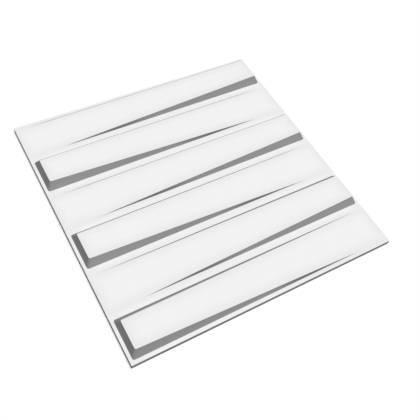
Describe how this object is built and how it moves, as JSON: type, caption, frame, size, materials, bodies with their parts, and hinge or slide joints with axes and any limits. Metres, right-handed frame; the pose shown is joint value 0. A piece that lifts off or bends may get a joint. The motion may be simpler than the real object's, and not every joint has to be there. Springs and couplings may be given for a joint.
{
  "type": "3d wall panel tile",
  "caption": "Square plaster wall tile with long tapering bars that rise at alternate ends from a flat back plate.",
  "frame": {"origin": "middle of the flat back, on the wall side", "axes": "+X along the bars, +Y across them, +Z out of the wall"},
  "size_m": [0.5, 0.5, 0.0247],
  "materials": {
    "plaster": "matte"
  },
  "bodies": {
    "root": {"tile": "plaster"}
  },
  "joints": []
}
